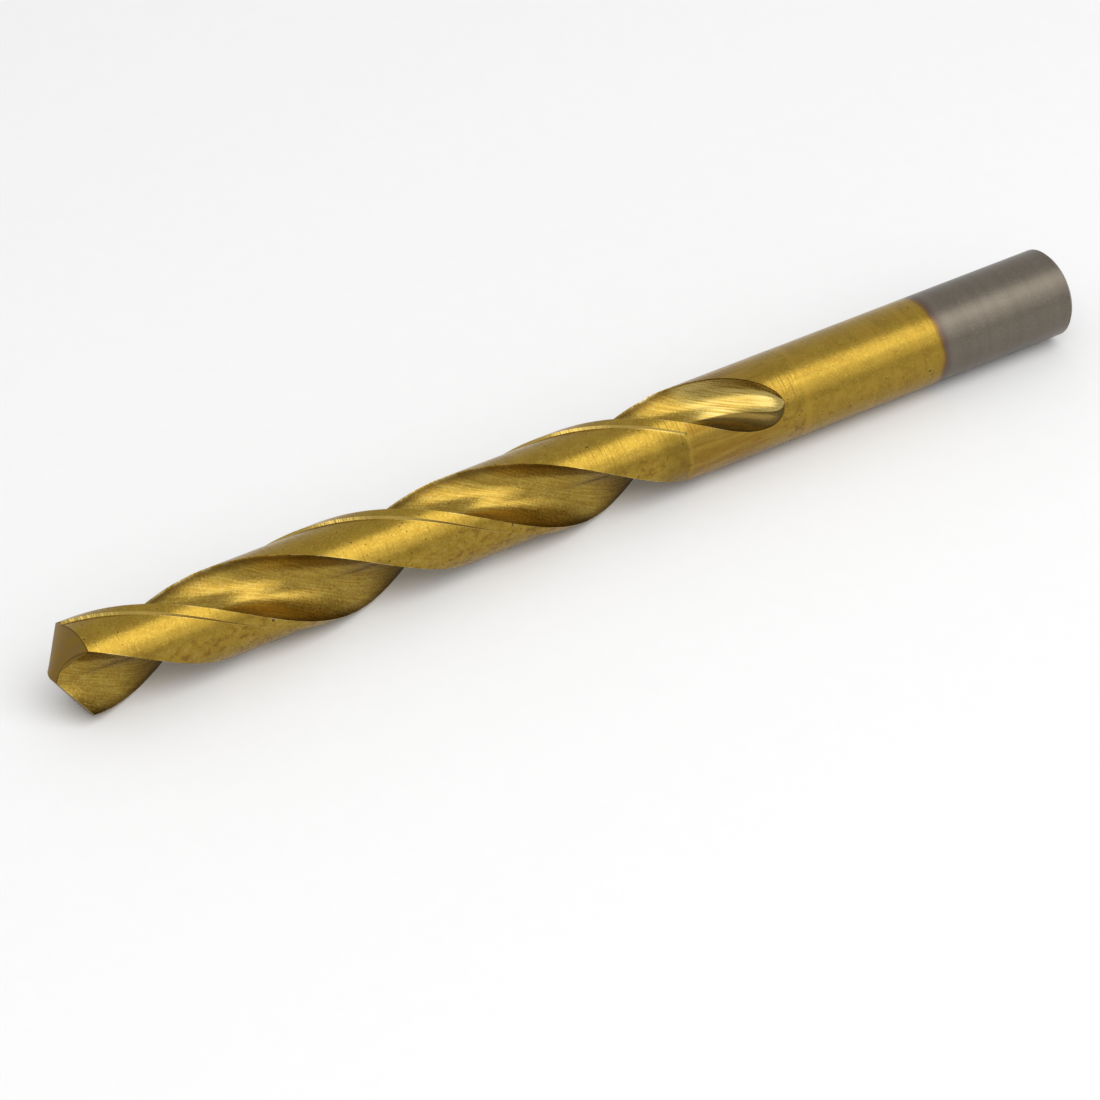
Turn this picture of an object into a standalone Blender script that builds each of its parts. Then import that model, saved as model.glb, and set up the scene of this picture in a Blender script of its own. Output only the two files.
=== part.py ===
"""Two-flute straight-shank twist drill, 12 mm x 149.5 mm, right-hand cut.

Axis along X: point at -X, shank end face on the plane X = 0, axis on Y = Z = 0. Metres.
Two pieces, as the tool is made: a high-speed-steel cutting body and a plain steel shank,
friction-welded end to end just behind the flutes.
"""
import math

import bmesh
import bpy

MM = 0.001
R = 6.0 * MM                    # cutting radius, 12 mm drill
TOTAL_LENGTH = 149.5 * MM       # point to shank end, jobber length
LEAD = 69.1 * MM                # axial length of one full turn of the flutes, about 29 deg
CLEARANCE_RADIUS = 5.65 * MM    # body clearance on the lands behind the margins
SHANK_RADIUS = 5.99 * MM
CLEARANCE_LENGTH = 88.2 * MM    # point to the circular step that ends the body clearance
CLEARANCE_FADE = 0.5 * MM
CLEARANCE_RISE = 12.0 * MM      # the clearance grows shallower over this last stretch
CLEARANCE_LEFT = 0.55           # share of the clearance depth taken up before the step
ROLL = math.radians(49.4)       # how the drill has rolled to rest about its axis
WELD_PLANE = 106.0 * MM         # point to the weld, just behind the flute run-out
PIECE_GAP = 0.3 * MM            # left between the two pieces at the weld plane

POINT_HALF_ANGLE = math.radians(59.0)
LIP_OFFSET = 0.13               # each lip runs this far ahead of the axis, in radii
RELIEF_APEX = 0.18              # flank cone apex beyond the axis, in radii
RELIEF_SLOPE = 0.03             # extra fall of the flank just behind the lip
RELIEF_CURVE = 0.07             # how fast that fall grows towards the heel
WEB_TIP = 0.196                 # half web thickness at the point, in radii
WEB_BACK = 0.30                 # half web thickness at the start of the run-out
WEB_SHARE = 0.442               # where the face meets the floor, between the two corners
RUNOUT_SHARE = 0.22             # the same at the end of the run-out, close under the face
FLOOR_TURN = math.radians(-82.7)   # direction of the floor there, against the radius
FACE_HOOK = math.radians(15.1)  # face leaves the leading corner this far off the radius
HEEL_LEAN = math.radians(4.4)   # floor climbs to the heel this far off the radius
FACE_HANDLES = (0.14, 0.32)     # how straight the face stays at its corner and at the web
FLOOR_HANDLES = (0.38, 0.73)    # how straight the floor stays at the web and at the heel

RUNOUT_START = 92.6 * MM        # point to where the fluting wheel starts to lift
RUNOUT_END = 103.2 * MM         # point to the end of the oval run-out
RUNOUT_ANGLE = math.radians(-56.0)   # where the run-out dies, behind the leading corner

MARGIN_ANGLE = math.radians(13.8)
MARGIN_STEP_ANGLE = math.radians(2.0)
HEEL_TIP = math.radians(79.0)   # leading corner to heel at the point
HEEL_MID = math.radians(85.0)
HEEL_BACK = math.radians(93.0)

MARGIN_SEGMENTS = 3
LAND_SEGMENTS = 10
LIP_SEGMENTS = 6                # flute face from the corner in to the chisel edge
LIP_SHARE = 0.92                # how far down the face the lip meets the chisel edge
WEB_SEGMENTS = 2
BACK_SEGMENTS = 8
RING_STEP = 2.0 * MM            # spacing of the lofted sections
RUNOUT_RINGS = 9
CAP_RINGS = 5                   # rings from the flank edge in to the chisel edge

SHANK_CHAMFER = 0.5 * MM
SHANK_STEPS = 64

GOLD = (0.52, 0.36, 0.10, 1.0)
BARE_STEEL = (0.42, 0.38, 0.35, 1.0)


def clear_scene():
    for obj in list(bpy.data.objects):
        bpy.data.objects.remove(obj, do_unlink=True)


def material(name, colour, roughness):
    mat = bpy.data.materials.new(name)
    mat.use_nodes = True
    bsdf = mat.node_tree.nodes["Principled BSDF"]
    bsdf.inputs["Base Color"].default_value = colour
    bsdf.inputs["Metallic"].default_value = 1.0
    bsdf.inputs["Roughness"].default_value = roughness
    mat.diffuse_color = colour
    return mat


def smoothstep(value, low, high):
    t = min(1.0, max(0.0, (value - low) / (high - low)))
    return t * t * (3.0 - 2.0 * t)


def mix(a, b, t):
    return a + (b - a) * t


def lift(s):
    """How far the fluting wheel has lifted out, 0 in the full flute to 1 at the end."""
    t = min(1.0, max(0.0, (s - RUNOUT_START) / (RUNOUT_END - RUNOUT_START)))
    return t * t


def web_radius(s):
    """Half web thickness at distance s from the point, thickening to the shank."""
    base = mix(WEB_TIP, WEB_BACK, min(1.0, s / RUNOUT_START))
    return mix(base, 1.0, lift(s))


def land_radius(s):
    """Radius of the land behind the margin; full size past the body clearance."""
    low = CLEARANCE_RADIUS / R
    rise = CLEARANCE_LEFT * smoothstep(s, CLEARANCE_LENGTH - CLEARANCE_RISE, CLEARANCE_LENGTH)
    step = smoothstep(s, CLEARANCE_LENGTH, CLEARANCE_LENGTH + CLEARANCE_FADE)
    return mix(mix(low, 1.0, rise), 1.0, step)


def leading_angle(s):
    """Leading corner against the plain helix; it swings in only along the run-out."""
    u = min(1.0, max(0.0, (s - RUNOUT_START) / (RUNOUT_END - RUNOUT_START)))
    return RUNOUT_ANGLE * (1.0 - math.sqrt(1.0 - u ** 2.5))


def heel_angle(s):
    """Heel corner behind the leading corner: the land widens as the web thickens."""
    front = smoothstep(s, 0.0, 45.0 * MM)
    back = smoothstep(s, 55.0 * MM, RUNOUT_START)
    angle = mix(mix(HEEL_TIP, HEEL_MID, front), HEEL_BACK, back)
    u = min(1.0, max(0.0, (s - RUNOUT_START) / (RUNOUT_END - RUNOUT_START)))
    end = math.pi + RUNOUT_ANGLE
    return end + (angle - end) * math.sqrt(1.0 - u ** 2.3)


def bezier(p0, p1, p2, p3, t):
    u = 1.0 - t
    weights = (u * u * u, 3.0 * u * u * t, 3.0 * u * t * t, t * t * t)
    x = sum(w * p[0] for w, p in zip(weights, (p0, p1, p2, p3)))
    y = sum(w * p[1] for w, p in zip(weights, (p0, p1, p2, p3)))
    return x, y


def polar(radius, angle):
    return radius * math.cos(angle), radius * math.sin(angle)


def step_from(point, length, angle):
    return point[0] + length * math.cos(angle), point[1] + length * math.sin(angle)


def flute_points(s):
    """Flute of one side in radii: leading corner, straight-lip face, web, back, heel."""
    lead = leading_angle(s)
    heel = heel_angle(s) - math.pi
    web = web_radius(s)
    corner = polar(1.0, lead)
    foot_angle = mix(lead, heel, mix(WEB_SHARE, RUNOUT_SHARE, lift(s)))
    foot = polar(web, foot_angle)
    top = polar(land_radius(s), heel)
    face_span = math.dist(corner, foot)
    back_span = math.dist(foot, top)
    along = foot_angle + FLOOR_TURN
    face = (corner, step_from(corner, FACE_HANDLES[0] * face_span, lead + math.pi - FACE_HOOK),
            step_from(foot, -FACE_HANDLES[1] * face_span, along), foot)
    back = (foot, step_from(foot, FLOOR_HANDLES[0] * back_span, along),
            step_from(top, -FLOOR_HANDLES[1] * back_span, heel + HEEL_LEAN), top)
    points = [bezier(*face, LIP_SHARE * i / LIP_SEGMENTS) for i in range(LIP_SEGMENTS)]
    points += [bezier(*face, mix(LIP_SHARE, 1.0, i / WEB_SEGMENTS)) for i in range(WEB_SEGMENTS)]
    points += [bezier(*back, i / BACK_SEGMENTS) for i in range(BACK_SEGMENTS)]
    return points


def half_section(s):
    """One flute, then one land, as (radius, angle) pairs running heel-ward."""
    flute = flute_points(s)
    flute.reverse()
    pairs = [(math.hypot(y, z), math.atan2(z, y)) for y, z in flute]
    lead = leading_angle(s)
    heel = heel_angle(s)
    low = land_radius(s)
    margin_end = lead + MARGIN_ANGLE
    for i in range(1, MARGIN_SEGMENTS + 1):
        pairs.append((1.0, mix(lead, margin_end, i / MARGIN_SEGMENTS)))
    start = margin_end + MARGIN_STEP_ANGLE
    for i in range(LAND_SEGMENTS + 1):
        pairs.append((low, mix(start, heel, i / LAND_SEGMENTS)))
    return pairs


def point_height(y, z, side):
    """Distance behind the lip corner plane of one flank, at (y, z) in radii."""
    u = y * side
    v = z * side + LIP_OFFSET
    lip = math.sqrt(1.0 - LIP_OFFSET ** 2)
    reach = math.hypot(u + RELIEF_APEX, v) - (lip + RELIEF_APEX)
    return reach / math.tan(POINT_HALF_ANGLE) + RELIEF_SLOPE * v + RELIEF_CURVE * v * v


APEX_HEIGHT = point_height(0.0, 0.0, 1.0)


def tip_surface(y, z):
    """Distance from the chisel-edge plane to the ground point, in radii."""
    return max(point_height(y, z, 1.0), point_height(y, z, -1.0)) - APEX_HEIGHT


def tip_turn():
    """Turn of the section that lays the lips parallel to the Y axis at the point."""
    corner_height = -APEX_HEIGHT * R
    return -math.asin(LIP_OFFSET) - 2.0 * math.pi * corner_height / LEAD


def place(radius, angle, s):
    turn = tip_turn() + 2.0 * math.pi * s / LEAD
    return radius * math.cos(angle + turn), radius * math.sin(angle + turn)


def tip_station(radius, angle):
    """Where a section point that rides the helix meets the ground point."""
    s = 0.0
    for _ in range(40):
        y, z = place(radius, angle, s)
        s = mix(s, tip_surface(y, z) * R, 0.6)
    return s


def section_stations():
    """Ring distances: even along the flutes, closer round the clearance and run-out."""
    first = 4.4 * MM
    count = int(round((RUNOUT_START - first) / RING_STEP))
    stations = [mix(first, RUNOUT_START, i / count) for i in range(count + 1)]
    stations = [s for s in stations if abs(s - CLEARANCE_LENGTH) > 1.2 * MM]
    stations += [CLEARANCE_LENGTH, CLEARANCE_LENGTH + CLEARANCE_FADE]
    for i in range(1, RUNOUT_RINGS):
        t = i / RUNOUT_RINGS
        stations.append(mix(RUNOUT_START, RUNOUT_END, 1.0 - (1.0 - t) ** 1.8))
    stations += [RUNOUT_END - 0.02 * MM, RUNOUT_END + 0.5 * MM, WELD_PLANE - PIECE_GAP / 2.0]
    return sorted(stations)


def add_ring(bm, pairs_by_side, s_of):
    ring = []
    for side, pairs in enumerate(pairs_by_side):
        for radius, angle in pairs:
            s = s_of(radius, angle + side * math.pi)
            y, z = place(radius, angle + side * math.pi, s)
            ring.append(bm.verts.new((s - TOTAL_LENGTH, y * R, z * R)))
    return ring


def bridge(bm, ring_a, ring_b):
    count = len(ring_a)
    for i in range(count):
        j = (i + 1) % count
        bm.faces.new((ring_a[i], ring_a[j], ring_b[j], ring_b[i]))


def cap_point(bm, ring):
    """Two ground flanks: rings drawn in from the flute and land edges to the chisel edge."""
    half = len(ring) // 2
    lip_end = BACK_SEGMENTS + WEB_SEGMENTS - 1
    start = ring[lip_end].co
    stop = ring[lip_end + half].co
    rings = [ring]
    for level in range(1, CAP_RINGS + 1):
        t = level / CAP_RINGS
        inner = []
        for i, vert in enumerate(ring):
            along = (i - lip_end) % len(ring)
            share = along / half if along <= half else 2.0 - along / half
            target = start.lerp(stop, share)
            y = mix(vert.co.y, target.y, t)
            z = mix(vert.co.z, target.z, t)
            x = tip_surface(y / R, z / R) * R - TOTAL_LENGTH
            inner.append(bm.verts.new((x, y, z)))
        rings.append(inner)
    for outer, inner in zip(rings, rings[1:]):
        bridge(bm, inner, outer)


def cutting_body(collection, mat):
    """Fluted high-speed-steel front: two lands, margins, run-out and ground point."""
    bm = bmesh.new()
    front = half_section(0.0)
    rings = [add_ring(bm, (front, front), tip_station)]
    for s in section_stations():
        pairs = half_section(s)
        rings.append(add_ring(bm, (pairs, pairs), lambda radius, angle, at=s: at))
    for ring_a, ring_b in zip(rings, rings[1:]):
        bridge(bm, ring_a, ring_b)
    cap_point(bm, rings[0])
    bm.faces.new(list(reversed(rings[-1])))
    obj = finish_mesh(bm, "cutting_body", collection, mat)
    obj.rotation_euler = (ROLL, 0.0, 0.0)
    return obj


def finish_mesh(bm, name, collection, mat):
    bmesh.ops.remove_doubles(bm, verts=bm.verts, dist=1e-7)
    bmesh.ops.dissolve_degenerate(bm, edges=bm.edges, dist=1e-7)
    bmesh.ops.recalc_face_normals(bm, faces=bm.faces)
    mesh = bpy.data.meshes.new(name)
    bm.to_mesh(mesh)
    bm.free()
    mesh.materials.append(mat)
    mesh.shade_smooth()
    mesh.set_sharp_from_angle(angle=math.radians(32.0))
    obj = bpy.data.objects.new(name, mesh)
    collection.objects.link(obj)
    return obj


def shank(collection, mat):
    """Plain turned shank: straight side, small chamfer and flat end."""
    length = TOTAL_LENGTH - WELD_PLANE - PIECE_GAP / 2.0
    profile = ((0.0, length),
               (SHANK_RADIUS, length),
               (SHANK_RADIUS, SHANK_CHAMFER),
               (SHANK_RADIUS - SHANK_CHAMFER, 0.0),
               (0.0, 0.0))
    mesh = bpy.data.meshes.new("shank")
    edges = [(i, i + 1) for i in range(len(profile) - 1)]
    mesh.from_pydata([(x, 0.0, z) for x, z in profile], edges, [])
    mesh.materials.append(mat)
    obj = bpy.data.objects.new("shank", mesh)
    collection.objects.link(obj)
    turn = obj.modifiers.new("Turn", "SCREW")
    turn.steps = SHANK_STEPS
    turn.render_steps = SHANK_STEPS
    turn.use_merge_vertices = True
    turn.merge_threshold = 0.00001
    obj.rotation_euler = (0.0, math.radians(-90.0), 0.0)
    return obj


def build():
    clear_scene()
    collection = bpy.data.collections.new("twist_drill")
    bpy.context.scene.collection.children.link(collection)
    coated = material("tin_coated_hss", GOLD, 0.28)
    bare = material("bare_steel_shank", BARE_STEEL, 0.32)
    cutting_body(collection, coated)
    shank(collection, bare)


build()
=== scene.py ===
import math

import bmesh
import bpy
from mathutils import Matrix, Vector


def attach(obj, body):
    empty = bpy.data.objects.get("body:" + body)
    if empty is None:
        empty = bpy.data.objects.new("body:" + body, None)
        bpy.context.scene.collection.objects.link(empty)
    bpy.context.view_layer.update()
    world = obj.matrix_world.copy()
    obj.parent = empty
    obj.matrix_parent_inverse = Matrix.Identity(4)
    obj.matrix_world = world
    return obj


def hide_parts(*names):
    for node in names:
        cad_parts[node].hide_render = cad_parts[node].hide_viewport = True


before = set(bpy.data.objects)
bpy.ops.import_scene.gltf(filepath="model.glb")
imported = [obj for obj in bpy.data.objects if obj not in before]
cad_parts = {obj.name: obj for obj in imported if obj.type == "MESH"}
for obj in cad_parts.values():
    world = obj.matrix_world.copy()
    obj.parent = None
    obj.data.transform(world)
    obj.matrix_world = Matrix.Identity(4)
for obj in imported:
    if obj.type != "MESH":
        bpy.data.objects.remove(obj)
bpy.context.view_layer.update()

# Cutting body. High-speed steel bar, fluted by a form wheel, ground on the lands and the point,
# then coated with titanium nitride. The wheel lifts out of the bar at the back of each flute and
# leaves the oval run-out.
MM = 0.001
DRILL_RADIUS = 6.0 * MM
DRILL_LENGTH = 149.5 * MM
FLUTE_LEAD = 69.1 * MM
ROLL_AT_REST = math.radians(49.4)
CLEARANCE_RATIO = 5.65 / 6.0
CLEARANCE_END = 88.2 * MM
CLEARANCE_STEP = 0.5 * MM
CLEARANCE_RISE = 12.0 * MM
CLEARANCE_LEFT = 0.55
WELD_STATION = 106.0 * MM
POINT_HALF_ANGLE = math.radians(59.0)
LIP_OFFSET = 0.13
RELIEF_APEX = 0.18
RELIEF_SLOPE = 0.03
RELIEF_CURVE = 0.07
WEB_AT_POINT = 0.196
WEB_AT_RUNOUT = 0.30
WEB_SHARE = 0.442
RUNOUT_SHARE = 0.22
FLOOR_TURN = math.radians(-82.7)
FACE_HOOK = math.radians(15.1)
HEEL_LEAN = math.radians(4.4)
RUNOUT_START = 92.6 * MM
RUNOUT_END = 103.2 * MM
RUNOUT_TOE = math.radians(-56.0)
MARGIN_WIDTH = math.radians(13.8)
MARGIN_STEP = math.radians(2.0)
HEEL_AT_POINT = math.radians(79.0)
HEEL_AT_MIDDLE = math.radians(85.0)
HEEL_AT_RUNOUT = math.radians(93.0)
HEEL_FRONT_END = 45.0 * MM
HEEL_BACK_START = 55.0 * MM
FACE_HANDLES = (0.14, 0.32)       # how straight the lip face stays at its corner and at the web
BACK_HANDLES = (0.38, 0.73)       # how straight the flute's back stays at the web and the heel
OVAL_LEAD_POWER = 2.5             # how each side of the oval run-out bends in to its toe
OVAL_HEEL_POWER = 2.3
MERGE_GAP = 0.001 * MM
SLIVER_GAP = 0.0005 * MM
SHARP_ANGLE = math.radians(28.0)

LIP_COLUMNS = 22
LIP_SHARE = 0.92
WEB_COLUMNS = 5
BACK_COLUMNS = 28
MARGIN_COLUMNS = 6
LAND_COLUMNS = 16
POINT_RINGS = 22
POINT_BLEND_END = 4.6 * MM
BODY_RINGS = 500
CHISEL_RINGS = 12
STATION_ROUNDS = 40
STATION_PULL = 0.6
WALL_COLUMNS = 3.0


def blend(a, b, share):
    return a + (b - a) * share


def ease(value, low, high):
    share = min(1.0, max(0.0, (value - low) / (high - low)))
    return share * share * (3.0 - 2.0 * share)


def runout_share(station):
    return min(1.0, max(0.0, (station - RUNOUT_START) / (RUNOUT_END - RUNOUT_START)))


def web_radius(station):
    thickening = blend(WEB_AT_POINT, WEB_AT_RUNOUT, min(1.0, station / RUNOUT_START))
    return blend(thickening, 1.0, runout_share(station) ** 2)


def land_radius(station):
    rise = CLEARANCE_LEFT * ease(station, CLEARANCE_END - CLEARANCE_RISE, CLEARANCE_END)
    step = ease(station, CLEARANCE_END, CLEARANCE_END + CLEARANCE_STEP)
    return blend(blend(CLEARANCE_RATIO, 1.0, rise), 1.0, step)


def leading_angle(station):
    return RUNOUT_TOE * (1.0 - math.sqrt(1.0 - runout_share(station) ** OVAL_LEAD_POWER))


def heel_angle(station):
    front = ease(station, 0.0, HEEL_FRONT_END)
    back = ease(station, HEEL_BACK_START, RUNOUT_START)
    open_heel = blend(blend(HEEL_AT_POINT, HEEL_AT_MIDDLE, front), HEEL_AT_RUNOUT, back)
    toe = math.pi + RUNOUT_TOE
    return toe + (open_heel - toe) * math.sqrt(1.0 - runout_share(station) ** OVAL_HEEL_POWER)


def on_circle(radius, angle):
    return Vector((radius * math.cos(angle), radius * math.sin(angle)))


def bezier(a, b, c, d, t):
    u = 1.0 - t
    return a * u ** 3 + b * 3.0 * u * u * t + c * 3.0 * u * t * t + d * t ** 3


def flute_outline(station):
    """Cross-section of one flute in radii: corner, straight-lip face, web, back, heel."""
    lead = leading_angle(station)
    heel = heel_angle(station) - math.pi
    corner = on_circle(1.0, lead)
    foot_share = blend(WEB_SHARE, RUNOUT_SHARE, runout_share(station) ** 2)
    foot_angle = blend(lead, heel, foot_share)
    foot = on_circle(web_radius(station), foot_angle)
    top = on_circle(land_radius(station), heel)
    face_span = (foot - corner).length
    back_span = (top - foot).length
    down = on_circle(FACE_HANDLES[0] * face_span, lead + math.pi - FACE_HOOK)
    across = on_circle(1.0, foot_angle + FLOOR_TURN)
    out = on_circle(BACK_HANDLES[1] * back_span, heel + HEEL_LEAN)
    face = (corner, corner + down, foot - across * FACE_HANDLES[1] * face_span, foot)
    back = (foot, foot + across * BACK_HANDLES[0] * back_span, top - out, top)
    spots = [bezier(*face, LIP_SHARE * i / LIP_COLUMNS) for i in range(LIP_COLUMNS)]
    spots += [bezier(*face, blend(LIP_SHARE, 1.0, i / WEB_COLUMNS)) for i in range(WEB_COLUMNS)]
    spots += [bezier(*back, i / BACK_COLUMNS) for i in range(BACK_COLUMNS)]
    return spots


def half_outline(station):
    """Flute then land of one side as (radius, angle), running from one heel to the next."""
    outline = [(spot.length, math.atan2(spot.y, spot.x)) for spot in flute_outline(station)]
    outline.reverse()
    lead = leading_angle(station)
    heel = heel_angle(station)
    low = land_radius(station)
    for i in range(1, MARGIN_COLUMNS + 1):
        outline.append((1.0, lead + MARGIN_WIDTH * i / MARGIN_COLUMNS))
    start = lead + MARGIN_WIDTH + MARGIN_STEP
    for i in range(LAND_COLUMNS + 1):
        outline.append((low, blend(start, heel, i / LAND_COLUMNS)))
    return outline


def flank_height(y, z, side):
    """Height in radii of the flank ground behind the lip on one side, from that lip's corner."""
    behind = z * side + LIP_OFFSET
    reach = math.hypot(y * side + RELIEF_APEX, behind)
    lip_reach = math.sqrt(1.0 - LIP_OFFSET ** 2) + RELIEF_APEX
    fall = RELIEF_SLOPE * behind + RELIEF_CURVE * behind * behind
    return (reach - lip_reach) / math.tan(POINT_HALF_ANGLE) + fall


CHISEL_HEIGHT = flank_height(0.0, 0.0, 1.0)
LIP_TURN = -math.asin(LIP_OFFSET) + 2.0 * math.pi * CHISEL_HEIGHT * DRILL_RADIUS / FLUTE_LEAD


def point_height(y, z):
    """Distance of the ground point behind the chisel edge, lips parallel to Y."""
    return (max(flank_height(y, z, 1.0), flank_height(y, z, -1.0)) - CHISEL_HEIGHT) * DRILL_RADIUS


def on_helix(radius, angle, station):
    return on_circle(radius, angle + LIP_TURN + 2.0 * math.pi * station / FLUTE_LEAD)


def ground_station(radius, angle):
    """Station at which an outline spot, carried along the helix, meets the ground point."""
    station = 0.0
    for _ in range(STATION_ROUNDS):
        spot = on_helix(radius, angle, station)
        station = blend(station, point_height(spot.x, spot.y), STATION_PULL)
    return station


point_outline = half_outline(0.0)
HALF_COLUMNS = len(point_outline)
COLUMNS = 2 * HALF_COLUMNS
FLUTE_COLUMNS = LIP_COLUMNS + WEB_COLUMNS + BACK_COLUMNS
LEADING_COLUMN = FLUTE_COLUMNS - 1
body_start = [ground_station(*spot) for spot in point_outline]
body_stations = [blend(POINT_BLEND_END, WELD_STATION, i / BODY_RINGS) for i in range(BODY_RINGS + 1)]
body_outlines = [half_outline(station) for station in body_stations]

body_mesh = bmesh.new()
# What the coating's material reads from the mesh, distances in mm: along the axis from the point,
# around the section from the leading corner, rim from the nearest flute edge, across the section
# and, not turning with the helix, level. Flute and wall are shares, flank is 1 + mm from its edge.
column_tag = body_mesh.verts.layers.int.new("column")
along = body_mesh.verts.layers.float.new("along")
around = body_mesh.verts.layers.float.new("around")
flute = body_mesh.verts.layers.float.new("flute")
rim = body_mesh.verts.layers.float.new("rim")
across = body_mesh.verts.layers.float.new("across")
level = body_mesh.verts.layers.float.new("level")
wall = body_mesh.verts.layers.float.new("wall")
flank = body_mesh.loops.layers.float.new("flank")
ALL_RINGS = POINT_RINGS + BODY_RINGS
bmesh.ops.create_grid(body_mesh, x_segments=COLUMNS, y_segments=ALL_RINGS, size=1.0)


def perimeter(outline):
    """For each spot, mm round the section from the leading corner and from the nearest edge."""
    spots = [on_circle(radius, angle) * DRILL_RADIUS / MM for radius, angle in outline]
    lengths = [0.0]
    for a, b in zip(spots, spots[1:]):
        lengths.append(lengths[-1] + (b - a).length)
    zero = lengths[LEADING_COLUMN]
    total = lengths[-1]
    rims = [min(length, abs(length - zero), total - length) for length in lengths]
    return [(length - zero, rim_gap) for length, rim_gap in zip(lengths, rims)]


body_rounds = [perimeter(outline) for outline in body_outlines]
for i, vert in enumerate(body_mesh.verts):
    ring, column = divmod(i, COLUMNS + 1)
    side, k = divmod(column % COLUMNS, HALF_COLUMNS)
    if ring < POINT_RINGS:
        station = blend(body_start[k], POINT_BLEND_END, ring / POINT_RINGS)
        radius, angle = half_outline(station)[k] if ring else point_outline[k]
        round_spot = body_rounds[0][k]
    else:
        station = body_stations[ring - POINT_RINGS]
        radius, angle = body_outlines[ring - POINT_RINGS][k]
        round_spot = body_rounds[ring - POINT_RINGS][k]
    spot = on_helix(radius, angle + side * math.pi, station) * DRILL_RADIUS
    vert.co = (station - DRILL_LENGTH, spot.x, spot.y)
    vert[column_tag] = column % COLUMNS
    vert[along] = station / MM
    vert[around] = round_spot[0]
    vert[rim] = round_spot[1]
    vert[flute] = 1.0 if k < LEADING_COLUMN and station < RUNOUT_END else 0.0
    vert[across] = radius * math.sin(angle - RUNOUT_TOE) * DRILL_RADIUS / MM
    unturned = angle - RUNOUT_TOE + 2.0 * math.pi * (station - RUNOUT_END) / FLUTE_LEAD
    vert[level] = radius * math.sin(unturned) * DRILL_RADIUS / MM
    vert[wall] = min(1.0, max(0.0, (k - BACK_COLUMNS + 1) / WALL_COLUMNS))

# The two ground flanks close the point: the outline is drawn in to the chisel edge.
body_mesh.verts.ensure_lookup_table()
point_ring = [body_mesh.verts[i] for i in range(COLUMNS + 1)]
lip_end = BACK_COLUMNS + WEB_COLUMNS - 1
flank_faces = []
chisel = (point_ring[lip_end].co.copy(), point_ring[lip_end + HALF_COLUMNS].co.copy())
outer_edge = [vert.co.copy() for vert in point_ring]
flank_edges = [body_mesh.edges.get(pair) for pair in zip(point_ring, point_ring[1:])]
for level in range(1, CHISEL_RINGS + 1):
    share = level / CHISEL_RINGS
    drawn = bmesh.ops.extrude_edge_only(body_mesh, edges=flank_edges)["geom"]
    inner = set(item for item in drawn if isinstance(item, bmesh.types.BMVert))
    flank_faces += [item for item in drawn if isinstance(item, bmesh.types.BMFace)]
    flank_edges = [item for item in drawn if isinstance(item, bmesh.types.BMEdge)
                   and item.verts[0] in inner and item.verts[1] in inner]
    for vert in inner:
        steps = (vert[column_tag] - lip_end) % COLUMNS
        run = steps / HALF_COLUMNS if steps <= HALF_COLUMNS else 2.0 - steps / HALF_COLUMNS
        target = chisel[0].lerp(chisel[1], run)
        edge = outer_edge[vert[column_tag]]
        y = blend(edge.y, target.y, share)
        z = blend(edge.z, target.z, share)
        vert.co = (point_height(y / DRILL_RADIUS, z / DRILL_RADIUS) - DRILL_LENGTH, y, z)
        vert[rim] = math.hypot(edge.y - y, edge.z - z) / MM
rim_verts = set(point_ring)
for face in flank_faces:
    for corner in face.loops:
        corner[flank] = 1.0 if corner.vert in rim_verts else 1.0 + corner.vert[rim]
bmesh.ops.remove_doubles(body_mesh, verts=body_mesh.verts, dist=MERGE_GAP)
weld_edges = [edge for edge in body_mesh.edges if edge.is_boundary]
bmesh.ops.contextual_create(body_mesh, geom=weld_edges)
bmesh.ops.dissolve_degenerate(body_mesh, dist=SLIVER_GAP, edges=body_mesh.edges)
# The drill lies rolled to this angle about its axis.
bmesh.ops.rotate(body_mesh, verts=body_mesh.verts, cent=(0, 0, 0),
                 matrix=Matrix.Rotation(ROLL_AT_REST, 3, "X"))
bmesh.ops.recalc_face_normals(body_mesh, faces=body_mesh.faces)
fluted_body = bpy.data.objects.new("fluted_body", bpy.data.meshes.new("fluted_body"))
body_mesh.to_mesh(fluted_body.data)
body_mesh.free()
fluted_body.data.shade_smooth()
fluted_body.data.set_sharp_from_angle(angle=SHARP_ANGLE)
bpy.context.scene.collection.objects.link(fluted_body)


def add_node(tree, kind, inputs, **settings):
    """Add one shader node; each input is a value or the output of another node."""
    made = tree.nodes.new(kind)
    for name, value in settings.items():
        setattr(made, name, value)
    for socket, value in inputs.items():
        if isinstance(value, bpy.types.NodeSocket):
            tree.links.new(value, made.inputs[socket])
        else:
            made.inputs[socket].default_value = value
    return made


def maths(tree, operation, a, b):
    return add_node(tree, "ShaderNodeMath", {0: a, 1: b}, operation=operation).outputs[0]


def tint(tree, share, low, high):
    return add_node(tree, "ShaderNodeMix", {0: share, 6: low, 7: high}, data_type="RGBA").outputs[2]


def between(tree, share, low, high):
    return add_node(tree, "ShaderNodeMix", {0: share, 2: low, 3: high}, data_type="FLOAT").outputs[0]


def window(tree, value, start, stop):
    """Eased step from 0 at start to 1 at stop."""
    sockets = {"Value": value, "From Min": start, "From Max": stop}
    step = add_node(tree, "ShaderNodeMapRange", sockets, interpolation_type="SMOOTHSTEP")
    return step.outputs["Result"]


def grain(tree, place, per_mm, detail=2.0):
    """Noise over a place in mm, with so many features to the mm along each axis."""
    stretched = add_node(tree, "ShaderNodeMapping", {"Vector": place, "Scale": per_mm})
    sockets = {"Vector": stretched.outputs[0], "Scale": 1.0, "Detail": detail, "Roughness": 0.55}
    return add_node(tree, "ShaderNodeTexNoise", sockets).outputs[0]


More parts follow.
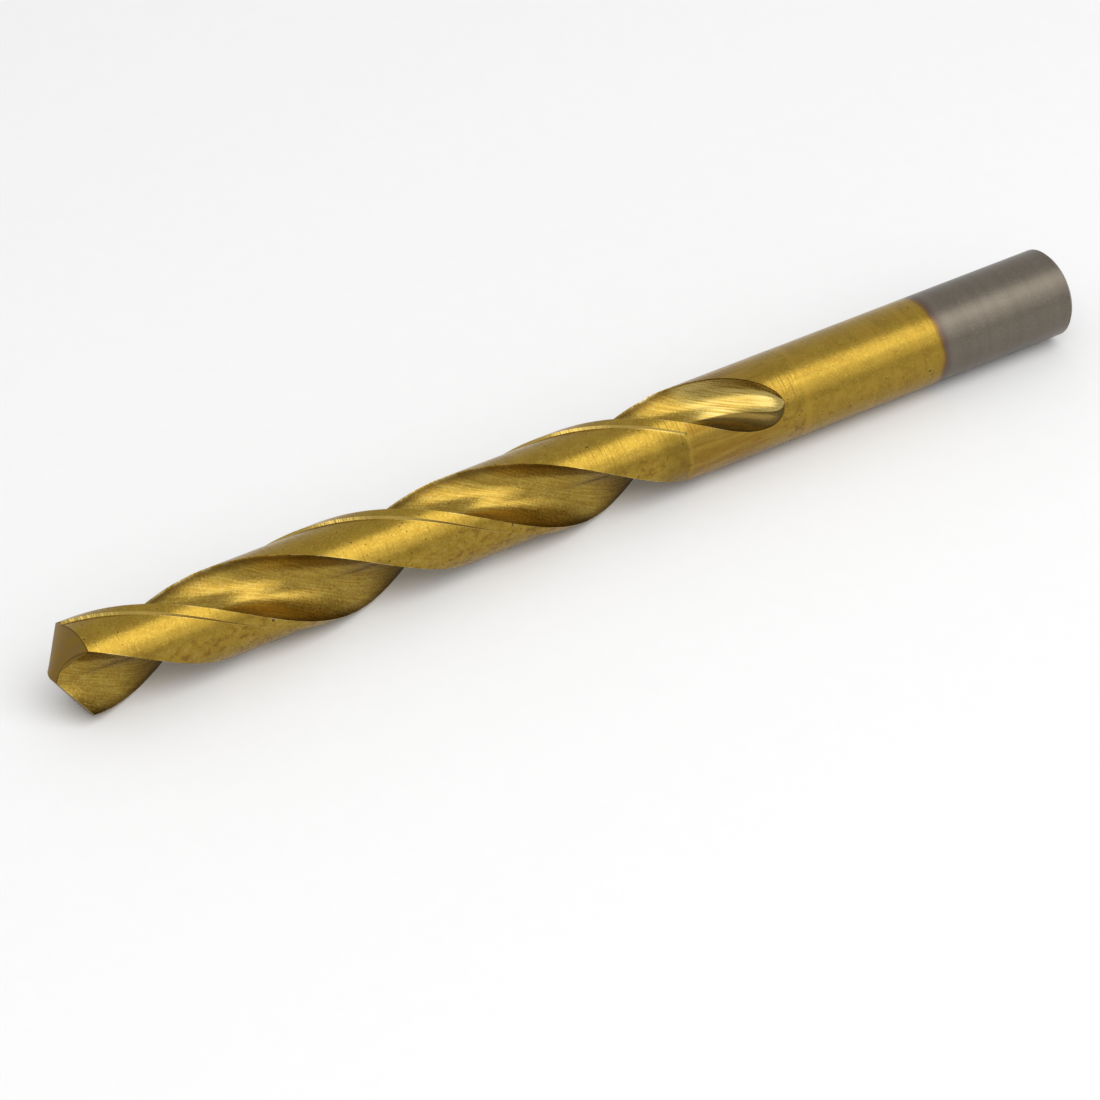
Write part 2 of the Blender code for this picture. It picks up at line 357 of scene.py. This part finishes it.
def place_in_mm(tree):
    coordinates = add_node(tree, "ShaderNodeTexCoord", {})
    sockets = {"Vector": coordinates.outputs["Object"], "Scale": (1 / MM, 1 / MM, 1 / MM)}
    return add_node(tree, "ShaderNodeMapping", sockets).outputs[0]


def times(tree, a, b):
    return maths(tree, "MULTIPLY", a, b)


def plus(tree, a, b):
    return maths(tree, "ADD", a, b)


def inverse(tree, share):
    return maths(tree, "SUBTRACT", 1.0, share)


def slanted(tree, along_axis, sideways, slope):
    """Flat place in mm where lines that climb sideways by this slope run straight along."""
    slid = maths(tree, "SUBTRACT", sideways, times(tree, along_axis, slope))
    return add_node(tree, "ShaderNodeCombineXYZ", {0: along_axis, 1: slid}).outputs[0]


COAT_DARK = (0.275, 0.169, 0.023, 1.0)
COAT_LIGHT = (0.325, 0.208, 0.029, 1.0)
COAT_FLECK = (0.40, 0.285, 0.055, 1.0)
STAIN_BROWN = (0.175, 0.080, 0.018, 1.0)
STAIN_PALE = (0.40, 0.28, 0.090, 1.0)
PALE_SHARE = 0.6
STAIN_HEIGHTS = (4.5, 0.5)        # mm above the axis over which the stains come in
SPECK_DARK = (0.06, 0.035, 0.012, 1.0)


def coat_colour(tree, place, staining):
    """Titanium nitride: gold mottled with olive, paler patches, brown stains and dark specks."""
    cloud = grain(tree, place, (0.55, 0.55, 0.55), 4.0)
    patch = grain(tree, place, (0.9, 1.3, 1.3), 5.0)
    fleck = grain(tree, place, (3.2, 3.2, 3.2), 3.0)
    speck = grain(tree, place, (2.1, 2.3, 2.3), 1.0)
    colour = tint(tree, window(tree, cloud, 0.30, 0.70), COAT_DARK, COAT_LIGHT)
    colour = tint(tree, window(tree, fleck, 0.45, 0.85), colour, COAT_FLECK)
    height = add_node(tree, "ShaderNodeSeparateXYZ", {0: place}).outputs[2]
    low_side = window(tree, height, *STAIN_HEIGHTS)
    stain = times(tree, window(tree, patch, 0.50, 0.66), low_side)
    colour = tint(tree, times(tree, stain, staining), colour, STAIN_BROWN)
    pale = times(tree, window(tree, patch, 0.44, 0.34), low_side)
    colour = tint(tree, times(tree, pale, staining * PALE_SHARE), colour, STAIN_PALE)
    return tint(tree, window(tree, speck, 0.72, 0.78), colour, SPECK_DARK)


# Colours of the ground surfaces under the coating, and of the painted shade and painted highlights
# laid over them.
FLUTE_DARK = (0.25, 0.142, 0.018, 1.0)
FLUTE_LIGHT = (0.40, 0.280, 0.050, 1.0)
FLUTE_PAINTED_GLINT = (0.56, 0.46, 0.16, 1.0)
RUNOUT_LINE_AND_SHEEN = (0.46, 0.37, 0.13, 1.0)
RUNOUT_PAINTED_HIGHLIGHT = (0.58, 0.44, 0.15, 1.0)
RUNOUT_WALL_PAINTED_SHADE = (0.075, 0.045, 0.011, 1.0)
FLANK_WARM = (0.225, 0.135, 0.022, 1.0)
FLANK_GREY = (0.205, 0.130, 0.036, 1.0)
FLANK_RIM_PAINTED_SHADE = (0.075, 0.045, 0.018, 1.0)
STREAK_DARK = (0.250, 0.138, 0.020, 1.0)
STREAK_LIGHT = (0.320, 0.200, 0.034, 1.0)
STEP_PAINTED_HIGHLIGHT = (0.42, 0.31, 0.09, 1.0)
LAND_PAINTED_SHADE = (0.190, 0.122, 0.018, 1.0)
STEP_WALL_PAINTED_LIGHT = (0.48, 0.35, 0.10, 1.0)
EDGE_PAINTED_HIGHLIGHT = (0.52, 0.42, 0.18, 1.0)
FLUTE_RIM_PAINTED_SHADE = (0.085, 0.045, 0.010, 1.0)

# Where each of those colours is absent and where it is full, in mm along the axis from the point...
RUNOUT_FROM = (90.5, 94.0)
STEP_FROM = (88.2, 88.9)
STEP_HIGHLIGHT_TO = (88.9, 88.6)
CLEARED_TO = (88.3, 88.2)
LAND_SHADE_FROM = (83.0, 86.5)
STREAKS_TO = (106.0, 99.0)
EDGE_HIGHLIGHT_TO = (96.0, 92.0)
TOE_HIGHLIGHT_FROM = (99.5, 102.5)
# ... round the section from the leading corner ...
STEP_LIGHT_FROM = (1.38, 1.46)
STEP_LIGHT_TO = (1.98, 1.84)
LAND_FROM = (1.9, 2.3)
# ... and in from the nearest edge, with 1 added on the flanks.
EDGE_HIGHLIGHT_WIDTH = (0.10, 0.02)
RIM_SHADE_WIDTH = (1.30, 0.03)
TOE_HIGHLIGHT_WIDTH = (1.1, 0.5)
FLANK_SHADE_WIDTH = (1.22, 1.02)

WHEEL_SLOPE = 0.40                # wheel lines in the flutes, against the helix
RUNOUT_SLOPE = 0.50               # wheel lines in the run-out, against the axis
RELIEF_STRENGTH = 0.55
RELIEF_DEPTH = 0.02 * MM
LAND_POLISH = 0.28
FLUTE_POLISH = 0.31
RUNOUT_POLISH = 0.28
FLANK_POLISH = 0.36
POLISH_SPREAD = 0.30


def coat_height(tree, zone, noise):
    """Ripples round the lands, wheel lines in the flutes, coarser ones in the run-out."""
    sparkle = noise["sparkle"]
    land_height = plus(tree, times(tree, noise["ripple"], 5.0), sparkle)
    flute_height = plus(tree, times(tree, noise["wheel"], 1.3), times(tree, sparkle, 2.0))
    runout_height = plus(tree, times(tree, noise["coarse"], 1.7), sparkle)
    height = between(tree, zone["flute"], land_height, flute_height)
    height = between(tree, zone["runout"], height, runout_height)
    return between(tree, zone["flank"], height, times(tree, sparkle, 0.6))


def ground_colours(tree, place, zone, noise, read):
    """The coating's colour with what grinding and the coating bath left on each surface, and painted
    shade and painted highlights over the flutes, lands, run-out and flanks.
    """
    flute_colour = tint(tree, window(tree, noise["wheel"], 0.35, 0.70), FLUTE_DARK, FLUTE_LIGHT)
    # Painted glints: pale flecks in the flutes where the sparkle noise is high.
    painted_glint = times(tree, window(tree, noise["sparkle"], 0.48, 0.72), 0.5)
    flute_colour = tint(tree, painted_glint, flute_colour, FLUTE_PAINTED_GLINT)
    haze = grain(tree, place, (0.8, 0.8, 0.8), 3.0)
    flank_colour = tint(tree, window(tree, haze, 0.40, 0.62), FLANK_WARM, FLANK_GREY)
    streak = grain(tree, place, (0.12, 0.9, 0.9), 2.0)
    streak_colour = tint(tree, window(tree, streak, 0.42, 0.58), STREAK_DARK, STREAK_LIGHT)

    behind_step = times(tree, zone["land"], window(tree, read["along"], *STEP_FROM))
    cleared = window(tree, read["along"], *CLEARED_TO)
    # Pale wheel lines in the run-out, partly real grinding marks and partly a painted highlight that
    # brightens its floor.
    coarse_line_and_sheen = times(tree, zone["runout"], window(tree, noise["coarse"], 0.40, 0.64))
    streaked = times(tree, behind_step, window(tree, read["along"], *STREAKS_TO))
    # Painted highlight: a thin pale line on the clearance step.
    step_highlight = times(tree, behind_step, window(tree, read["along"], *STEP_HIGHLIGHT_TO))
    # Painted shade: the cleared land darker just before the clearance step, where its highlight
    # falls off.
    painted_land_shade = times(tree, window(tree, read["around"], *LAND_FROM), cleared)
    painted_land_shade = times(tree, painted_land_shade, window(tree, read["along"], *LAND_SHADE_FROM))
    # Painted light: the wall of the margin step lightened so that its shade line shows less.
    painted_step_light = times(tree, window(tree, read["around"], *STEP_LIGHT_FROM),
                        window(tree, read["around"], *STEP_LIGHT_TO))
    painted_step_light = times(tree, times(tree, painted_step_light, cleared), inverse(tree, zone["flank"]))
    # Painted highlight: a broken thin pale line along the edges, stopping short of the run-out.
    painted_edge_highlight = times(tree, window(tree, read["rim"], *EDGE_HIGHLIGHT_WIDTH),
                 window(tree, grain(tree, place, (0.5, 0.5, 0.5)), 0.45, 0.6))
    painted_edge_highlight = times(tree, painted_edge_highlight, window(tree, read["along"], *EDGE_HIGHLIGHT_TO))
    # Painted shade: a dark band in the flutes along their edges, beneath the overhanging land, not
    # in the run-out.
    painted_rim_shade = times(tree, window(tree, read["rim"], *RIM_SHADE_WIDTH), zone["flute"])
    painted_rim_shade = times(tree, painted_rim_shade, inverse(tree, zone["runout"]))
    # Painted highlight: the run-out paler towards its toe end and near its edges.
    toe = maths(tree, "MAXIMUM", window(tree, read["along"], *TOE_HIGHLIGHT_FROM),
                window(tree, read["rim"], *TOE_HIGHLIGHT_WIDTH))
    toe = times(tree, toe, zone["runout"])
    # Painted shade: the steep leading wall of the run-out drawn dark.
    painted_wall_shade = times(tree, window(tree, read["wall"], 0.1, 0.9), zone["runout"])
    # Painted shade: a dark line along the flank's edge.
    flank_rim_shade = times(tree, window(tree, read["flank"], *FLANK_SHADE_WIDTH), zone["flank"])

    layers = ((zone["flute"], 0.65, flute_colour), (coarse_line_and_sheen, 0.85, RUNOUT_LINE_AND_SHEEN),
              (zone["flank"], 1.0, flank_colour), (streaked, 0.8, streak_colour),
              (step_highlight, 0.25, STEP_PAINTED_HIGHLIGHT), (painted_land_shade, 0.60, LAND_PAINTED_SHADE),
              (painted_step_light, 0.60, STEP_WALL_PAINTED_LIGHT), (painted_edge_highlight, 0.7, EDGE_PAINTED_HIGHLIGHT),
              (painted_rim_shade, 0.75, FLUTE_RIM_PAINTED_SHADE), (toe, 0.50, RUNOUT_PAINTED_HIGHLIGHT),
              (painted_wall_shade, 0.88, RUNOUT_WALL_PAINTED_SHADE), (flank_rim_shade, 0.75, FLANK_RIM_PAINTED_SHADE))
    colour = coat_colour(tree, place, 0.65)
    for mask, strength, layer in layers:
        colour = tint(tree, times(tree, mask, strength), colour, layer)
    return colour


def titanium_nitride():
    """Gold coating over a ground surface, with a look of its own for each ground zone and painted
    shade and highlights over some of them.
    """
    coat = bpy.data.materials.new("titanium_nitride")
    coat.use_nodes = True
    tree = coat.node_tree
    shader = tree.nodes["Principled BSDF"]
    place = place_in_mm(tree)
    read = {}
    for name in ("along", "around", "across", "level", "wall", "flute", "rim", "flank"):
        sensor = add_node(tree, "ShaderNodeAttribute", {}, attribute_name=name)
        read[name] = sensor.outputs["Fac"]
    in_flute = window(tree, read["flute"], 0.2, 0.8)
    zone = {"flute": in_flute, "land": inverse(tree, in_flute),
            "flank": maths(tree, "GREATER_THAN", read["flank"], 0.5),
            "runout": times(tree, in_flute, window(tree, read["along"], *RUNOUT_FROM))}
    wheel_place = slanted(tree, read["along"], read["across"], WHEEL_SLOPE)
    runout_place = slanted(tree, read["along"], read["level"], RUNOUT_SLOPE)
    noise = {"ripple": grain(tree, place, (3.0, 0.10, 0.10), 1.0),
             "sparkle": grain(tree, place, (3.6, 3.6, 3.6), 2.0),
             "wheel": grain(tree, wheel_place, (0.22, 4.6, 1.0), 2.0),
             "coarse": grain(tree, runout_place, (0.16, 4.6, 1.0), 4.0)}
    sockets = {"Height": coat_height(tree, zone, noise), "Strength": RELIEF_STRENGTH,
               "Distance": RELIEF_DEPTH}
    relief = add_node(tree, "ShaderNodeBump", sockets)
    tree.links.new(relief.outputs["Normal"], shader.inputs["Normal"])
    colour = ground_colours(tree, place, zone, noise, read)
    tree.links.new(colour, shader.inputs["Base Color"])
    polish = between(tree, zone["flute"], LAND_POLISH, FLUTE_POLISH)
    polish = between(tree, zone["runout"], polish, RUNOUT_POLISH)
    polish = between(tree, zone["flank"], polish, FLANK_POLISH)
    spread = times(tree, maths(tree, "SUBTRACT", noise["sparkle"], 0.5), POLISH_SPREAD)
    tree.links.new(plus(tree, polish, spread), shader.inputs["Roughness"])
    shader.inputs["Metallic"].default_value = 1.0
    return coat


fluted_body.data.materials.append(titanium_nitride())
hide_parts("cutting_body")
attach(fluted_body, "root")

# Shank. Plain round bar of carbon steel, friction-welded to the cutting body, cylindrically ground
# and chamfered at its end. The fixture that holds it in the coating bath leaves its end bare.
SHANK_RADIUS = 5.99 * MM
SHANK_CHAMFER = 0.5 * MM
SHANK_COLUMNS = 160
MASK_LENGTH = 20.6        # mm of bare steel left at the end
shank_mesh = bmesh.new()
profile = ((WELD_STATION - DRILL_LENGTH, 0.0), (WELD_STATION - DRILL_LENGTH, SHANK_RADIUS),
           (-SHANK_CHAMFER, SHANK_RADIUS), (0.0, SHANK_RADIUS - SHANK_CHAMFER), (0.0, 0.0))
spots = [shank_mesh.verts.new((x, 0.0, radius)) for x, radius in profile]
outline = [shank_mesh.edges.new(pair) for pair in zip(spots, spots[1:])]
bmesh.ops.spin(shank_mesh, geom=spots + outline, axis=(1, 0, 0), cent=(0, 0, 0),
               angle=2.0 * math.pi, steps=SHANK_COLUMNS, use_merge=True)
bmesh.ops.remove_doubles(shank_mesh, verts=shank_mesh.verts, dist=MERGE_GAP)
bmesh.ops.recalc_face_normals(shank_mesh, faces=shank_mesh.faces)
plain_shank = bpy.data.objects.new("plain_shank", bpy.data.meshes.new("plain_shank"))
shank_mesh.to_mesh(plain_shank.data)
shank_mesh.free()
plain_shank.data.shade_smooth()
plain_shank.data.set_sharp_from_angle(angle=SHARP_ANGLE)
bpy.context.scene.collection.objects.link(plain_shank)


STEEL_DARK = (0.148, 0.126, 0.099, 1.0)
STEEL_LIGHT = (0.164, 0.141, 0.112, 1.0)
STEEL_FLECK = (0.195, 0.170, 0.137, 1.0)
GOLD_RING = (0.355, 0.222, 0.033, 1.0)
TINT_PURPLE = (0.135, 0.100, 0.082, 1.0)
TINT_STRAW = (0.175, 0.100, 0.030, 1.0)
MASK_WOBBLE = 0.9                 # mm that the coating's edge wanders
SHANK_STAINING = 0.22
SHANK_RELIEF = 0.5
GOLD_POLISH = 0.30
STEEL_POLISH = 0.36
SHANK_SPREAD = 0.20


def shank_finish():
    """Gold coating that stops short of the end, where the fixture masked the bare steel."""
    finish = bpy.data.materials.new("masked_shank")
    finish.use_nodes = True
    tree = finish.node_tree
    shader = tree.nodes["Principled BSDF"]
    place = place_in_mm(tree)
    axis_parts = add_node(tree, "ShaderNodeSeparateXYZ", {0: place})
    wobble = times(tree, grain(tree, place, (0.5, 0.35, 0.35), 3.0), MASK_WOBBLE)
    from_end = maths(tree, "SUBTRACT", times(tree, axis_parts.outputs[0], -1.0), wobble)
    ring_mark = grain(tree, place, (4.5, 0.10, 0.10), 2.0)
    broad_ring = grain(tree, place, (0.9, 0.06, 0.06), 3.0)
    sparkle = grain(tree, place, (3.6, 3.6, 3.6), 2.0)
    scratch = grain(tree, place, (0.25, 2.6, 2.6), 1.0)

    gold = coat_colour(tree, place, SHANK_STAINING)
    gold = tint(tree, window(tree, broad_ring, 0.45, 0.70), gold, GOLD_RING)
    steel = tint(tree, window(tree, broad_ring, 0.30, 0.70), STEEL_DARK, STEEL_LIGHT)
    steel = tint(tree, window(tree, sparkle, 0.45, 0.85), steel, STEEL_FLECK)
    heat_tint = tint(tree, window(tree, from_end, MASK_LENGTH - 0.3, MASK_LENGTH + 0.5),
                     TINT_PURPLE, TINT_STRAW)
    bare = tint(tree, window(tree, from_end, MASK_LENGTH - 1.1, MASK_LENGTH - 0.2), steel, heat_tint)
    colour = tint(tree, window(tree, from_end, MASK_LENGTH + 0.1, MASK_LENGTH + 0.9), bare, gold)
    tree.links.new(colour, shader.inputs["Base Color"])

    on_steel = window(tree, from_end, MASK_LENGTH + 0.5, MASK_LENGTH - 0.5)
    gold_height = plus(tree, times(tree, ring_mark, 0.8), sparkle)
    steel_height = plus(tree, times(tree, ring_mark, 0.6), times(tree, sparkle, 0.35))
    height = between(tree, on_steel, gold_height, steel_height)
    height = plus(tree, height, window(tree, scratch, 0.74, 0.70))
    sockets = {"Height": height, "Strength": SHANK_RELIEF, "Distance": RELIEF_DEPTH}
    relief = add_node(tree, "ShaderNodeBump", sockets)
    tree.links.new(relief.outputs["Normal"], shader.inputs["Normal"])
    polish = between(tree, on_steel, GOLD_POLISH, STEEL_POLISH)
    spread = times(tree, maths(tree, "SUBTRACT", sparkle, 0.5), SHANK_SPREAD)
    tree.links.new(plus(tree, polish, spread), shader.inputs["Roughness"])
    shader.inputs["Metallic"].default_value = 1.0
    return finish


plain_shank.data.materials.append(shank_finish())
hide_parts("shank")
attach(plain_shank, "root")

# Floor. A wide pale matt sheet of paper that the drill lies on, flat and plain. It belongs to the
# studio and isn't part of the drill.
FLOOR_HALF_WIDTH = 3.0
PAPER_DARK = (0.76, 0.76, 0.76, 1.0)
PAPER_LIGHT = (0.78, 0.78, 0.78, 1.0)
floor_mesh = bmesh.new()
bmesh.ops.create_grid(floor_mesh, x_segments=1, y_segments=1, size=FLOOR_HALF_WIDTH)
bmesh.ops.translate(floor_mesh, verts=floor_mesh.verts, vec=(0.0, 0.0, -DRILL_RADIUS))
floor = bpy.data.objects.new("floor", bpy.data.meshes.new("floor"))
floor_mesh.to_mesh(floor.data)
floor_mesh.free()
bpy.context.scene.collection.objects.link(floor)
paper = bpy.data.materials.new("pale_paper")
paper.use_nodes = True
paper_tree = paper.node_tree
fibre = grain(paper_tree, place_in_mm(paper_tree), (0.4, 0.4, 0.4), 3.0)
paper_colour = tint(paper_tree, fibre, PAPER_DARK, PAPER_LIGHT)
paper_tree.links.new(paper_colour, paper_tree.nodes["Principled BSDF"].inputs["Base Color"])
paper_tree.nodes["Principled BSDF"].inputs["Roughness"].default_value = 0.9
floor.data.materials.append(paper)

# Light and camera. An even pale room, two long soft lights over the front of the drill, one high
# and strong and one low and weak, and a long lens.
ROOM_STRENGTH = 0.80
BOX_LENGTH = 1.0
BOX_DISTANCE = 0.75
BOX_SWING = 0.08
BOX_AIM = Vector((-0.07, 0.0, 0.0))
SOFT_BOXES = {"key_box": (62.0, 0.48, 3.35), "fill_box": (33.0, 0.28, 0.8)}
SENSOR_WIDTH = 36.0
LENS_IN_WIDTHS = 4600.0 / 1100.0
CAMERA_PLACE = (-0.32672, -0.38772, 0.35222)
CAMERA_DOWN = 38.2386
CAMERA_TURN = -32.62
scene = bpy.context.scene
scene.view_settings.view_transform = "Standard"
room = bpy.data.worlds.new("room")
room.use_nodes = True
room.node_tree.nodes["Background"].inputs["Color"].default_value = (1.0, 1.0, 1.0, 1.0)
room.node_tree.nodes["Background"].inputs["Strength"].default_value = ROOM_STRENGTH
scene.world = room
for name, (elevation, width, watts) in SOFT_BOXES.items():
    soft_data = bpy.data.lights.new(name, "AREA")
    soft_data.shape = "RECTANGLE"
    soft_data.size = BOX_LENGTH
    soft_data.size_y = width
    soft_data.energy = watts
    soft_box = bpy.data.objects.new(name, soft_data)
    tilt = math.radians(elevation)
    light_way = Vector((BOX_SWING, -math.cos(tilt), math.sin(tilt))).normalized()
    soft_box.location = BOX_AIM + light_way * BOX_DISTANCE
    soft_box.rotation_euler = light_way.to_track_quat("Z", "Y").to_euler()
    scene.collection.objects.link(soft_box)
camera_data = bpy.data.cameras.new("camera")
camera_data.sensor_width = SENSOR_WIDTH
camera_data.lens = SENSOR_WIDTH * LENS_IN_WIDTHS
camera_data.clip_end = 20.0
camera = bpy.data.objects.new("camera", camera_data)
camera.location = CAMERA_PLACE
camera.rotation_euler = (math.radians(90.0 - CAMERA_DOWN), 0.0, math.radians(CAMERA_TURN))
scene.collection.objects.link(camera)
scene.camera = camera
